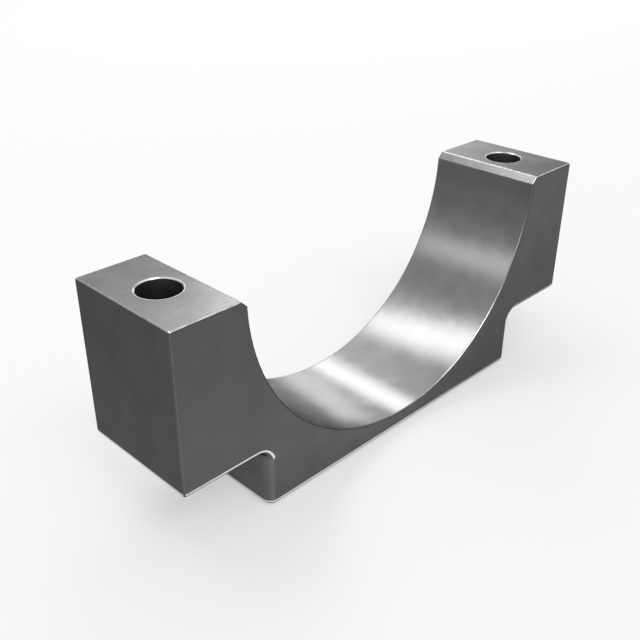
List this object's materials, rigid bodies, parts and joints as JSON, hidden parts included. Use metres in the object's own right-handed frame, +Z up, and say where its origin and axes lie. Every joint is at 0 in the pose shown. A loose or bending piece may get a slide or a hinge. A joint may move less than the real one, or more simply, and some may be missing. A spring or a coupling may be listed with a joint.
{
  "type": "tube clamp",
  "caption": "Lower half of a split tube clamp: a machined steel block with a half-round seat, flat ears drilled for bolts and a narrower foot with hollow roots.",
  "frame": {"origin": "on the tube's centre line, at mid-width, in the plane where the clamp's halves part", "axes": "+X from one bolt to the other, +Y along the tube, +Z up out of the seat towards the upper half"},
  "size_m": [0.1396, 0.0326, 0.0554],
  "materials": {
    "steel": "satin"
  },
  "bodies": {
    "root": {"clamp_saddle": "steel"}
  },
  "joints": []
}
